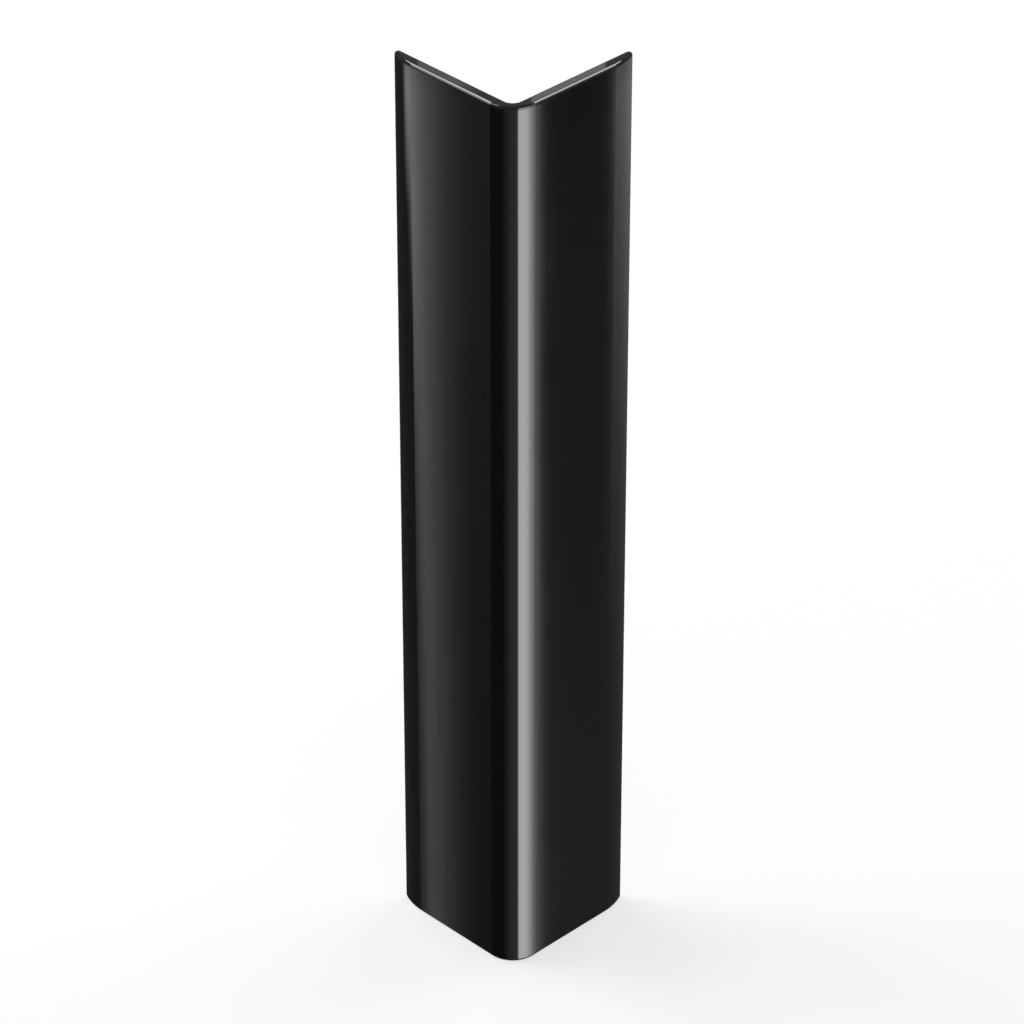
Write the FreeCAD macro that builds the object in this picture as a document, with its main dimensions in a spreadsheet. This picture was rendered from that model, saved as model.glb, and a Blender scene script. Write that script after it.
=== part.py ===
import math
import os
from enum import IntEnum

import FreeCAD, Part
import Sketcher

# Corner guard moulding: one straight strip of black plastic with an L-shaped section.
# Millimetres. The origin is the sharp line where the two wall faces would meet, at the
# lower end. The wall faces lie on the planes Y = 0 and X = 0, the legs run along +X and
# +Y, the rounded nose points to -X -Y and the strip stands up along +Z.

doc = FreeCAD.newDocument("corner_guard")
sizes = doc.addObject("Spreadsheet::Sheet", "Sizes")

VALUES = [
    ("length", 300.0, "height of the strip as it stands"),
    ("leg_width", 50.0, "outer face of one leg to the free edge of the other"),
    ("wall", 4.0, "thickness of a leg"),
    ("nose_radius", 9.0, "outside of the corner"),
    ("heel_radius", 3.0, "inside of the corner"),
    ("edge_radius", 19.0, "large round that thins each leg towards its free edge"),
    ("tip_radius", 1.1, "small round on the free edge itself"),
    ("end_fillet", 0.9, "round on the edge all along both end faces"),
]
value_of = {}
for row, (name, value, note) in enumerate(VALUES, start=1):
    sizes.set("A%d" % row, name)
    sizes.set("B%d" % row, str(value))
    sizes.set("C%d" % row, note)
    sizes.setAlias("B%d" % row, name)
    value_of[name] = value
doc.recompute()


def origin_feature(body, role):
    """Return the plane of a body's own origin that has the given role."""
    for feature in body.Origin.OriginFeatures:
        if feature.Role == role:
            return feature
    raise RuntimeError("no origin feature " + role)


body = doc.addObject("PartDesign::Body", "corner_guard")
body.Label = "corner_guard"

# Section of the strip, seen from above. The sketch starts close to its final shape; the
# constraints below set every size.
section = body.newObject("Sketcher::SketchObject", "Section")
section.AttachmentSupport = [(origin_feature(body, "XY_Plane"), "")]
section.MapMode = "FlatFace"

wall = value_of["wall"]
nose = value_of["nose_radius"]
heel = value_of["heel_radius"]
edge = value_of["edge_radius"]
tip = value_of["tip_radius"]
reach = value_of["leg_width"] - wall
# The edge round touches the outer face and, from inside, the tip round.
run = ((wall - 2 * tip) * (2 * edge - wall)) ** 0.5
meet = math.atan2(run, edge + tip - wall)
QUARTER = math.pi / 2
UP = FreeCAD.Vector(0, 0, 1)


def line(x1, y1, x2, y2):
    """Add a straight side to the section and return its index."""
    ends = FreeCAD.Vector(x1, y1, 0), FreeCAD.Vector(x2, y2, 0)
    return section.addGeometry(Part.LineSegment(*ends), False)


def arc(x, y, radius, start, end):
    """Add a round to the section, counter-clockwise between two angles."""
    circle = Part.Circle(FreeCAD.Vector(x, y, 0), UP, radius)
    return section.addGeometry(Part.ArcOfCircle(circle, start, end), False)


x_wall_face = line(heel, 0, reach - tip, 0)
x_tip = arc(reach - tip, -tip, tip, meet - QUARTER, QUARTER)
x_edge = arc(reach - tip - run, edge - wall, edge, -QUARTER, meet - QUARTER)
x_outer_face = line(nose - wall, -wall, reach - tip - run, -wall)
corner_nose = arc(nose - wall, nose - wall, nose, 2 * QUARTER, 3 * QUARTER)
y_outer_face = line(-wall, reach - tip - run, -wall, nose - wall)
y_edge = arc(edge - wall, reach - tip - run, edge, 2 * QUARTER - meet, 2 * QUARTER)
y_tip = arc(-tip, reach - tip, tip, 0, 2 * QUARTER - meet)
y_wall_face = line(0, reach - tip, 0, heel)
corner_heel = arc(heel, heel, heel, 2 * QUARTER, 3 * QUARTER)

# How a constraint names a place on a side. It names the X axis of the sketch as side -1,
# which starts at the origin, and the Y axis as side -2.
At = IntEnum("At", "START END CENTRE")
ORIGIN = (-1, At.START)

# Every side runs smoothly into the next one.
for first, first_end, second, second_end in (
    (x_wall_face, At.END, x_tip, At.END),
    (x_tip, At.START, x_edge, At.END),
    (x_edge, At.START, x_outer_face, At.END),
    (x_outer_face, At.START, corner_nose, At.END),
    (corner_nose, At.START, y_outer_face, At.END),
    (y_outer_face, At.START, y_edge, At.END),
    (y_edge, At.START, y_tip, At.END),
    (y_tip, At.START, y_wall_face, At.START),
    (y_wall_face, At.END, corner_heel, At.START),
    (corner_heel, At.END, x_wall_face, At.START),
):
    section.addConstraint(
        Sketcher.Constraint("Tangent", first, first_end, second, second_end))

section.addConstraint(Sketcher.Constraint("Horizontal", x_wall_face))
section.addConstraint(Sketcher.Constraint("Horizontal", x_outer_face))
section.addConstraint(Sketcher.Constraint("Vertical", y_wall_face))
section.addConstraint(Sketcher.Constraint("Vertical", y_outer_face))
section.addConstraint(Sketcher.Constraint("PointOnObject", x_wall_face, At.START, -1))
section.addConstraint(Sketcher.Constraint("PointOnObject", y_wall_face, At.END, -2))
section.addConstraint(Sketcher.Constraint("Equal", x_edge, y_edge))
section.addConstraint(Sketcher.Constraint("Equal", x_tip, y_tip))


def bound(kind, *args):
    """Add a dimension whose value is the sheet expression given last."""
    *places, value, expression = args
    index = section.addConstraint(Sketcher.Constraint(kind, *places, value))
    section.setExpression("Constraints[%d]" % index, expression)


bound("Radius", corner_nose, nose, "Sizes.nose_radius")
bound("Radius", corner_heel, heel, "Sizes.heel_radius")
bound("Radius", x_edge, edge, "Sizes.edge_radius")
bound("Radius", x_tip, tip, "Sizes.tip_radius")
TO_TIP_CENTRE = "Sizes.leg_width - Sizes.wall - Sizes.tip_radius"
bound("DistanceY", x_outer_face, At.START, *ORIGIN, wall, "Sizes.wall")
bound("DistanceX", y_outer_face, At.END, *ORIGIN, wall, "Sizes.wall")
bound("DistanceX", *ORIGIN, x_tip, At.CENTRE, reach - tip, TO_TIP_CENTRE)
bound("DistanceY", *ORIGIN, y_tip, At.CENTRE, reach - tip, TO_TIP_CENTRE)
doc.recompute()

strip = body.newObject("PartDesign::Pad", "Strip")
strip.Profile = section
strip.setExpression("Length", "Sizes.length")
doc.recompute()

# The outline of each end face is one smooth loop and the fillet runs all round it. Its
# edges are the ones that don't run the height of the strip.
rims = ["Edge%d" % number for number, side in enumerate(strip.Shape.Edges, start=1)
        if side.BoundBox.ZLength < strip.Shape.BoundBox.ZLength / 2]
ends = body.newObject("PartDesign::Fillet", "EndRounds")
ends.Base = (strip, rims)
ends.setExpression("Radius", "Sizes.end_fillet")
doc.recompute()

if not section.FullyConstrained:
    raise RuntimeError("the section is not fully constrained")
for item in doc.Objects:
    if any(word in item.State for word in ("Invalid", "Error")):
        raise RuntimeError("%s: %s" % (item.Name, item.State))
shape = body.Shape
if shape.isNull() or not shape.isValid() or len(shape.Solids) != 1:
    raise RuntimeError("the strip is not one valid solid")

os.makedirs("parts", exist_ok=True)
shape.exportStep("parts/%s.step" % body.Label)
box = shape.BoundBox
print(body.Label, "volume", round(shape.Volume, 1), "faces", len(shape.Faces))
print([round(v, 3) for v in (box.XMin, box.YMin, box.ZMin, box.XMax, box.YMax, box.ZMax)])
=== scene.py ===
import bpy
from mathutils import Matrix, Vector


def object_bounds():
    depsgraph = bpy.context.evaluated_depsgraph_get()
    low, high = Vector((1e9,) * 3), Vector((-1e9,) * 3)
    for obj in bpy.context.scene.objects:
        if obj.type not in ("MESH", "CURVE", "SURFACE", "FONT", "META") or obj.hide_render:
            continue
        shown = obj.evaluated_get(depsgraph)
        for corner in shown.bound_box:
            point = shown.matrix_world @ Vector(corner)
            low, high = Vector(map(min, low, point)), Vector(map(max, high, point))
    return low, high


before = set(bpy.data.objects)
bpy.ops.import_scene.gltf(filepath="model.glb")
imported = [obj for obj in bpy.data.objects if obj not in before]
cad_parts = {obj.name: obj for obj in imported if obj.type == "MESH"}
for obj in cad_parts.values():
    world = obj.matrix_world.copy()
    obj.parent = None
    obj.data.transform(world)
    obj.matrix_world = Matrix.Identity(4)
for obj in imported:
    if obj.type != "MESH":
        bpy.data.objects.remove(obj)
cad_box = [list(corner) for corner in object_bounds()]

import math

import bpy
from mathutils import Vector

# Corner guard moulding: a straight L-section strip of glossy black plastic that stands on its
# lower end. The nose points to -X -Y and the two legs run along +X and +Y. The strip itself is
# the CAD solid: this script gives it its plastic and sets up the studio around it. Lengths are
# in metres and angles in degrees.

# The camera looks at the nose from above. Its turn is about +Z.
VIEW_TURN = -44.51
VIEW_RISE = 33.16
VIEW_DISTANCE = 1.461
LENS = 176.0
SENSOR_WIDTH = 36.0
AIM = Vector((-0.0001, 0.0001, 0.165))

# The strip's section and height: the wall, how far a leg reaches from the wall corner, the
# height, and the radii of the nose, the large round that thins a leg and its free edge.
WALL = -cad_box[0][0]
REACH = cad_box[1][0]
HEIGHT = cad_box[1][2]
NOSE = 0.009
EDGE = 0.019
TIP = 0.0011

WHITE = (1.0, 1.0, 1.0, 1.0)
BLACK = (0.0, 0.0, 0.0, 1.0)

# The plastic's black and its gloss vary a little, each between two values.
PLASTIC_DARK = (0.0045, 0.0045, 0.0046, 1.0)
PLASTIC_LIGHT = (0.0055, 0.0055, 0.0056, 1.0)
PLASTIC_ROUGHNESS = (0.022, 0.038)
DIE_LINE_SCALE = (900.0, 900.0, 5.0)
DIE_LINE_DEPTH = 0.000002
DIE_LINE_STRENGTH = 0.3
CLOUD_SCALE = 35.0

# The floor's own colour, and what the camera sees of it: a darker colour that takes the
# strip's shadow, and a plain white on top of it.
FLOOR_RADIUS = 7.0
FLOOR_SIDES = 96
FLOOR_COLOUR = (0.94, 0.94, 0.94, 1.0)
FLOOR_SEEN = (0.35, 0.35, 0.35, 1.0)
FLOOR_WHITE = 0.63

# Each softbox has a name, its angle right of the camera, its angle above level, its width, its
# height and its glow. A glow says how bright a thing is, where 1 is white.
SOFTBOXES = (
    ("softbox_left", -128.0, 51.0, 1.5, 0.27, 10.5),
    ("softbox_right", 131.0, 51.0, 1.5, 0.25, 9.0),
    ("softbox_left_high", -106.0, 61.0, 0.5, 0.5, 9.0),
    ("softbox_left_low", -88.0, 27.0, 0.3, 0.8, 6.0),
    ("softbox_right_low", 88.0, 25.0, 0.3, 0.7, 1.0),
)
SOFTBOX_DISTANCE = 2.0

# A large fill above evens out the light on the strip. It doesn't show in the gloss.
FILL_DISTANCE = 3.0
FILL_RISE = 75.0
FILL_SIZE = 4.0
FILL_GLOW = 0.4

# The world shines evenly from level upwards and is dark from WORLD_LOW downwards.
WORLD_GLOW = 0.32
WORLD_LOW = -25.0
DARK_GLOW = 0.1

# What the nose mirrors: a dim front and, to the right, a bright field. Angles are right of the
# camera. The field starts between two angles and fades between two others, down to the glow
# with which it ends beside the nose.
FRONT_GLOW = 0.42
FRONT_RIGHT_GLOW = 0.6
FIELD_GLOW = 8.5
FIELD_END_GLOW = 1.8
FIELD_START = (17.0, 22.0)
FIELD_FADE = (38.0, 108.0)

# The side cards stand this far from the strip and reach this far past its two ends. They have
# so many lines for the parts of the section, and so many steps up the strip.
SIDE_CARD_DISTANCE = 2.0
SIDE_CARD_MARGIN = 0.04
SIDE_CARD_LINES = {"nose": 36, "face": 24, "edge": 16}
SIDE_CARD_STEPS = 8

# The high card spans these angles right of the camera and above level, in so many steps. It
# takes the glow of the world between its two fade angles.
HIGH_CARD_DISTANCE = 2.1
HIGH_CARD_TURNS = (17.0, 80.0, 21)
HIGH_CARD_LIFTS = (-4.0, 40.0, 11)
HIGH_CARD_FADE = (5.0, 40.0)

# The cards behind the upper end: how far back and up they are and half their height. Each has
# places to the right of the nose and how bright the card is there.
END_CARD_BACK = 0.35
END_CARD_UP = 0.19
END_CARD_HALF = 0.06
END_CARDS = (
    ("card_end_left", ((-0.0335, 0.86), (-0.020, 0.86), (-0.011, 0.32))),
    ("card_end_right", ((0.0068, 1.25), (0.033, 1.25))),
)

turn = math.radians(VIEW_TURN)
rise = math.radians(VIEW_RISE)
TO_CAMERA = Vector((math.sin(turn), -math.cos(turn), 0.0))
TO_RIGHT = Vector((math.cos(turn), math.sin(turn), 0.0))
UP = Vector((0.0, 0.0, 1.0))
camera_place = AIM + VIEW_DISTANCE * (math.cos(rise) * TO_CAMERA + math.sin(rise) * UP)


def aimed(place, target):
    """Return the rotation of a lamp or camera at place that looks at target."""
    return (target - place).to_track_quat("-Z", "Y").to_euler()


def around(sideways, height):
    """Return the direction at an angle right of the camera and at an angle above level."""
    side, lift = math.radians(sideways), math.radians(height)
    level = math.cos(side) * TO_CAMERA + math.sin(side) * TO_RIGHT
    return math.cos(lift) * level + math.sin(lift) * UP


def smooth(value, low, high):
    """Return 0 below low, 1 above high and a soft step between."""
    t = min(max((value - low) / (high - low), 0.0), 1.0)
    return t * t * (3.0 - 2.0 * t)


def mix(a, b, share):
    """Return the value that lies share of the way from a to b."""
    return a + (b - a) * share


def spread(low, high, steps):
    """Return even steps from low to high, both included."""
    return [mix(low, high, k / steps) for k in range(steps + 1)]


def add_camera():
    """Add the camera that frames the strip as the photograph does."""
    camera = bpy.data.objects.new("camera", bpy.data.cameras.new("camera"))
    camera.data.lens = LENS
    camera.data.sensor_width = SENSOR_WIDTH
    camera.location = camera_place
    camera.rotation_euler = aimed(camera_place, AIM)
    bpy.context.scene.collection.objects.link(camera)
    bpy.context.scene.camera = camera


def node_material(name):
    """Return a new material, its node tree and its Principled shader."""
    material = bpy.data.materials.new(name)
    material.use_nodes = True
    return material, material.node_tree, material.node_tree.nodes["Principled BSDF"]


def black_plastic():
    """Return the strip's glossy black plastic."""
    material, tree, shader = node_material("black_plastic")
    place = tree.nodes.new("ShaderNodeTexCoord")

    # Faint lines along the strip, left by the die that it is extruded through.
    stretch = tree.nodes.new("ShaderNodeMapping")
    stretch.inputs["Scale"].default_value = DIE_LINE_SCALE
    lines = tree.nodes.new("ShaderNodeTexNoise")
    lines.inputs["Scale"].default_value = 1.0
    lines.inputs["Detail"].default_value = 2.0
    bump = tree.nodes.new("ShaderNodeBump")
    bump.inputs["Strength"].default_value = DIE_LINE_STRENGTH
    bump.inputs["Distance"].default_value = DIE_LINE_DEPTH
    tree.links.new(place.outputs["Object"], stretch.inputs["Vector"])
    tree.links.new(stretch.outputs["Vector"], lines.inputs["Vector"])
    tree.links.new(lines.outputs["Fac"], bump.inputs["Height"])
    tree.links.new(bump.outputs["Normal"], shader.inputs["Normal"])

    # Clouds a few centimetres across, in which the gloss and the black vary a little.
    clouds = tree.nodes.new("ShaderNodeTexNoise")
    clouds.inputs["Scale"].default_value = CLOUD_SCALE
    clouds.inputs["Detail"].default_value = 3.0
    gloss = tree.nodes.new("ShaderNodeMapRange")
    gloss.inputs["To Min"].default_value = PLASTIC_ROUGHNESS[0]
    gloss.inputs["To Max"].default_value = PLASTIC_ROUGHNESS[1]
    tint = tree.nodes.new("ShaderNodeMix")
    tint.data_type = "RGBA"
    tint.inputs["A"].default_value = PLASTIC_DARK
    tint.inputs["B"].default_value = PLASTIC_LIGHT
    tree.links.new(place.outputs["Object"], clouds.inputs["Vector"])
    tree.links.new(clouds.outputs["Fac"], gloss.inputs["Value"])
    tree.links.new(gloss.outputs["Result"], shader.inputs["Roughness"])
    tree.links.new(clouds.outputs["Fac"], tint.inputs["Factor"])
    tree.links.new(tint.outputs["Result"], shader.inputs["Base Color"])
    return material


def add_floor():
    """Add the pale floor, which the camera sees almost white, with the strip's soft shadow."""
    angles = [math.tau * k / FLOOR_SIDES for k in range(FLOOR_SIDES)]
    corners = [(FLOOR_RADIUS * math.cos(angle), FLOOR_RADIUS * math.sin(angle), 0.0)
               for angle in angles]
    mesh = bpy.data.meshes.new("floor")
    mesh.from_pydata(corners, [], [list(range(FLOOR_SIDES))])
    floor = bpy.data.objects.new("floor", mesh)
    material, tree, shader = node_material("pale_floor")
    seen = tree.nodes.new("ShaderNodeLightPath").outputs["Is Camera Ray"]
    colour = tree.nodes.new("ShaderNodeMix")
    colour.data_type = "RGBA"
    colour.inputs["A"].default_value = FLOOR_COLOUR
    colour.inputs["B"].default_value = FLOOR_SEEN
    white = tree.nodes.new("ShaderNodeMath")
    white.operation = "MULTIPLY"
    white.inputs[1].default_value = FLOOR_WHITE
    tree.links.new(seen, colour.inputs["Factor"])
    tree.links.new(colour.outputs["Result"], shader.inputs["Base Color"])
    tree.links.new(seen, white.inputs[0])
    tree.links.new(white.outputs["Value"], shader.inputs["Emission Strength"])
    shader.inputs["Emission Color"].default_value = WHITE
    shader.inputs["Roughness"].default_value = 1.0
    shader.inputs["Specular IOR Level"].default_value = 0.0
    mesh.materials.append(material)
    # The photograph's gloss shows a dark room with bright fields, and not the pale ground. The
    # cards stand for that room, so reflections don't see the floor.
    floor.visible_glossy = False
    bpy.context.scene.collection.objects.link(floor)


def add_softbox(name, place, width, height, glow):
    """Add an area lamp that faces the middle of the strip and shines glow times white."""
    data = bpy.data.lights.new(name, "AREA")
    data.shape = "RECTANGLE"
    data.size = width
    data.size_y = height
    data.energy = glow * math.pi * width * height
    lamp = bpy.data.objects.new(name, data)
    lamp.location = place
    lamp.rotation_euler = aimed(place, AIM)
    bpy.context.scene.collection.objects.link(lamp)
    return lamp


def add_card(name, points, glows, rows):
    """Add a glowing card that only reflections see.

    Its points and their glows are given line by line, with rows points in each line.
    """
    lines = len(points) // rows
    faces = [(a * rows + b, a * rows + b + 1, (a + 1) * rows + b + 1, (a + 1) * rows + b)
             for a in range(lines - 1) for b in range(rows - 1)]
    mesh = bpy.data.meshes.new(name)
    mesh.from_pydata(points, [], faces)
    mesh.attributes.new("glow", "FLOAT", "POINT").data.foreach_set("value", glows)
    card = bpy.data.objects.new(name, mesh)
    for kind in ("camera", "diffuse", "transmission", "volume_scatter", "shadow"):
        setattr(card, "visible_" + kind, False)
    material, tree, shader = node_material(name)
    shader.inputs["Base Color"].default_value = BLACK
    shader.inputs["Specular IOR Level"].default_value = 0.0
    shader.inputs["Emission Color"].default_value = WHITE
    glow = tree.nodes.new("ShaderNodeAttribute")
    glow.attribute_name = "glow"
    tree.links.new(glow.outputs["Fac"], shader.inputs["Emission Strength"])
    material.cycles.emission_sampling = "NONE"
    mesh.materials.append(material)
    bpy.context.scene.collection.objects.link(card)


def mirrored(place, normal):
    """Return the level direction in which the camera's line to place is reflected."""
    to_camera = camera_place - place
    to_camera.z = 0.0
    to_camera.normalize()
    return 2.0 * normal.dot(to_camera) * normal - to_camera


def section_side(part, share):
    """Return a point of the section's right half and its outward normal.

    share runs from 0 to 1 over the part: over the nose from its middle, and over the outer
    face or the large round away from the nose.
    """
    run = ((WALL - 2 * TIP) * (2 * EDGE - WALL)) ** 0.5
    meet = math.atan2(run, EDGE + TIP - WALL)
    start, end = NOSE - WALL, REACH - TIP - run
    if part == "face":
        return Vector((mix(start, end, share), -WALL, 0.0)), Vector((0.0, -1.0, 0.0))
    if part == "nose":
        angle = math.radians(225.0 + 45.0 * share)
        centre, radius = Vector((start, start, 0.0)), NOSE
    else:
        angle = share * meet - math.pi / 2
        centre, radius = Vector((end, EDGE - WALL, 0.0)), EDGE
    normal = Vector((math.cos(angle), math.sin(angle), 0.0))
    return centre + radius * normal, normal


def front_glow(azimuth):
    """Return how bright the surroundings are at an angle right of the camera."""
    dim = mix(FRONT_GLOW, FRONT_RIGHT_GLOW, smooth(azimuth, 0.0, 16.0))
    fade_from, fade_to = FIELD_FADE
    passed = min(max((azimuth - fade_from) / (fade_to - fade_from), 0.0), 1.0)
    fade = 0.5 * (1.0 + math.cos(math.pi * passed))
    field = max(FIELD_GLOW * fade ** 1.3, FIELD_END_GLOW)
    return mix(dim, field, smooth(azimuth, *FIELD_START))


def nose_level(up):
    """Return how bright what the nose mirrors is, which grows a little from foot to top."""
    return 0.9 + 0.12 * up


def nose_turn(up):
    """Return the angle by which to look further right in what the nose mirrors.

    It is below 0 near the foot, so the bright field stands a little further right there.
    """
    return 3.6 * up - 3.4


# The two functions below take the same values for a place on the strip: its part of the
# section and its share along that part, the angle right of the camera towards which it mirrors,
# how far it lies to the right of the nose, and how far up, from 0 at the foot to 1 at the top.


def right_glow(part, share, azimuth, side, up):
    """Return how bright the card is that a place on the strip's right half mirrors.

    The face mirrors a dark room, with the end of the bright field beside the nose. The round
    at the free edge mirrors a paler one, most of all near the top.
    """
    if part == "nose":
        return nose_level(up) * front_glow(azimuth + nose_turn(up))
    edge_glow = 0.14 + 0.09 * up + 0.81 * up ** 4
    if part == "face":
        field_end = FIELD_END_GLOW * math.exp(-share / (0.043 - 0.021 * up))
        face_glow = 0.15 - 0.075 * up + field_end
        return mix(face_glow, edge_glow, smooth(share, 0.97, 1.0))
    return (1.0 - 0.3 * share) * edge_glow


def left_glow(part, share, azimuth, side, up):
    """Return how bright the card is that a place on the strip's left half mirrors.

    The face mirrors a room that grows brighter away from the nose. It goes dark again on the
    round at the free edge, past a limit that stands further out towards the top.
    """
    if part == "nose":
        dark = smooth(-azimuth - nose_turn(up), 0.0, 45.0)
        return nose_level(up) * mix(FRONT_GLOW, 0.01, dark)
    if part == "face":
        slope = (1.15 + 0.3 * up) * share ** (2.7 + 0.54 * up)
        bright = slope + 1.35 * up * share ** 24
    else:
        bright = 1.15 + 1.65 * up + 4.0 * share
    glow = 0.05 + 0.081 * up ** 2 + min(bright, 2.0)
    limit = 0.0267 + 0.003753 * up ** 2
    soft = 0.0018 - 0.0012 * up
    return mix(glow, 0.06, smooth(-side, limit - soft, limit + soft))


def add_side_card(name, sign, glow_at):
    """Add the standing card that shows in the gloss on one side of the nose.

    It stands below the floor, where the strip mirrors the camera's lines. Each of its upright
    lines is what one upright line of the strip mirrors.
    """
    camera_level = (camera_place - AIM).dot(TO_CAMERA)
    heights = [-SIDE_CARD_MARGIN] + spread(0.0, HEIGHT, SIDE_CARD_STEPS)
    heights.append(HEIGHT + SIDE_CARD_MARGIN)
    lines = [(part, k / count) for part, count in SIDE_CARD_LINES.items() for k in range(count)]
    lines.append(("edge", 1.0))
    points, glows = [], []
    for part, share in lines:
        foot, normal = section_side(part, share)
        if sign < 0:
            foot, normal = foot.yxz, normal.yxz
        way = mirrored(foot, normal)
        azimuth = math.degrees(math.atan2(way.dot(TO_RIGHT), way.dot(TO_CAMERA)))
        side = foot.dot(TO_RIGHT)
        for height in heights:
            drop = (camera_place.z - height) * SIDE_CARD_DISTANCE / camera_level
            points.append(foot + SIDE_CARD_DISTANCE * way + (height - drop) * UP)
            up = height / HEIGHT
            inside = 0.0 <= up <= 1.0
            glows.append(glow_at(part, share, azimuth, side, up) if inside else DARK_GLOW)
    add_card(name, points, glows, len(heights))


def add_high_card():
    """Add the card up on the right, which shows in the round of the nose's upper end."""
    lifts = spread(*HIGH_CARD_LIFTS)
    points, glows = [], []
    for sideways in spread(*HIGH_CARD_TURNS):
        for lift in lifts:
            points.append(AIM + HIGH_CARD_DISTANCE * around(sideways, lift))
            fade = smooth(lift, *HIGH_CARD_FADE)
            glows.append(mix(front_glow(sideways), WORLD_GLOW, fade))
    add_card("card_high", points, glows, len(lifts))


def add_end_card(name, stops):
    """Add a card behind the strip that shows in its upper end face."""
    centre = (HEIGHT + END_CARD_UP) * UP - END_CARD_BACK * TO_CAMERA
    points, glows = [], []
    for place, glow in stops:
        for height in (-END_CARD_HALF, END_CARD_HALF):
            points.append(centre + place * TO_RIGHT + height * UP)
            glows.append(glow)
    add_card(name, points, glows, 2)


def add_world():
    """Add the even light of the surroundings, which is darker below level."""
    world = bpy.data.worlds.new("studio")
    world.use_nodes = True
    tree = world.node_tree
    background = tree.nodes["Background"]
    background.inputs["Color"].default_value = WHITE
    place = tree.nodes.new("ShaderNodeTexCoord")
    split = tree.nodes.new("ShaderNodeSeparateXYZ")
    level = tree.nodes.new("ShaderNodeMapRange")
    level.inputs["From Min"].default_value = math.sin(math.radians(WORLD_LOW))
    level.inputs["From Max"].default_value = 0.0
    level.inputs["To Min"].default_value = DARK_GLOW
    level.inputs["To Max"].default_value = WORLD_GLOW
    tree.links.new(place.outputs["Generated"], split.inputs["Vector"])
    tree.links.new(split.outputs["Z"], level.inputs["Value"])
    tree.links.new(level.outputs["Result"], background.inputs["Strength"])
    bpy.context.scene.world = world


def light_studio():
    """Add the softboxes, the cards that the gloss shows and the even light."""
    add_side_card("card_right", 1, right_glow)
    add_side_card("card_left", -1, left_glow)
    for name, sideways, lift, width, height, glow in SOFTBOXES:
        add_softbox(name, AIM + SOFTBOX_DISTANCE * around(sideways, lift), width, height, glow)
    add_high_card()
    above = AIM + FILL_DISTANCE * around(0.0, FILL_RISE)
    fill = add_softbox("fill", above, FILL_SIZE, FILL_SIZE, FILL_GLOW)
    fill.visible_glossy = False
    for name, stops in END_CARDS:
        add_end_card(name, stops)
    add_world()


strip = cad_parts["corner_guard"]
plastic = black_plastic()
for slot in strip.material_slots:
    slot.material = plastic

add_camera()
add_floor()
light_studio()
bpy.context.scene.view_settings.view_transform = "Standard"
